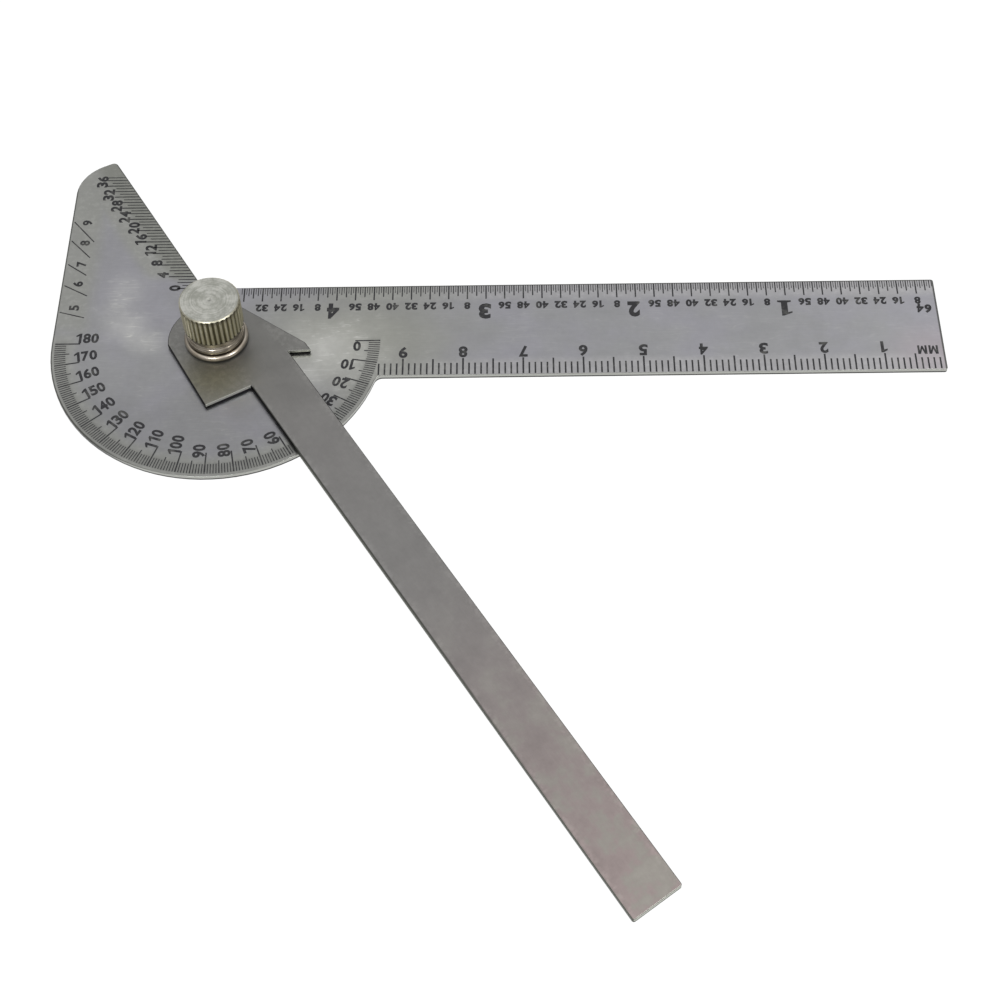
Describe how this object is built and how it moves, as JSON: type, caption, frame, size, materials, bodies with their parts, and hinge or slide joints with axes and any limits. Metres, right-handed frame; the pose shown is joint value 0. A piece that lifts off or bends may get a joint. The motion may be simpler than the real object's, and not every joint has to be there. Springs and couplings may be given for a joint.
{
  "type": "multi-purpose layout gauge",
  "caption": "Flat steel rule with a protractor head, a slanted drill lip and a long swinging arm, locked by a knurled thumb nut on a keyed stud.",
  "frame": {"origin": "pivot axis of the arm, on the plate's back face, which is also the flush back of the stud", "axes": "+X along the rule towards its free end, +Z out of the graduated face towards the thumb nut"},
  "size_m": [0.1491, 0.1466, 0.0117],
  "materials": {
    "plate_steel": "satin stainless",
    "arm_steel": "satin stainless, a little darker",
    "nickel_brass": "nickel-plated brass, turned and knurled",
    "stud_steel": "turned steel"
  },
  "bodies": {
    "plate": {"rule_plate": "plate_steel", "pivot_stud": "stud_steel"},
    "arm": {"swing_arm": "arm_steel"},
    "ring": {"clamp_washer": "nickel_brass"},
    "nut": {"thumb_nut": "nickel_brass"}
  },
  "joints": [
    {"name": "arm_swing", "type": "hinge", "parent": "plate", "child": "arm", "pos_m": [0, 0, 0], "axis": [0, 0, 1], "continuous": true},
    {"name": "ring_rise", "type": "slide", "parent": "plate", "child": "ring", "axis": [0, 0, 1], "range_m": [0, 0.0016]},
    {"name": "nut_turn", "type": "hinge", "parent": "ring", "child": "nut", "pos_m": [0, 0, 0], "axis": [0, 0, 1], "range_deg": [0, 720]}
  ],
  "couplings": [
    {"joint": "nut_turn", "follows": "ring_rise", "rad_per_m": 7854}
  ]
}
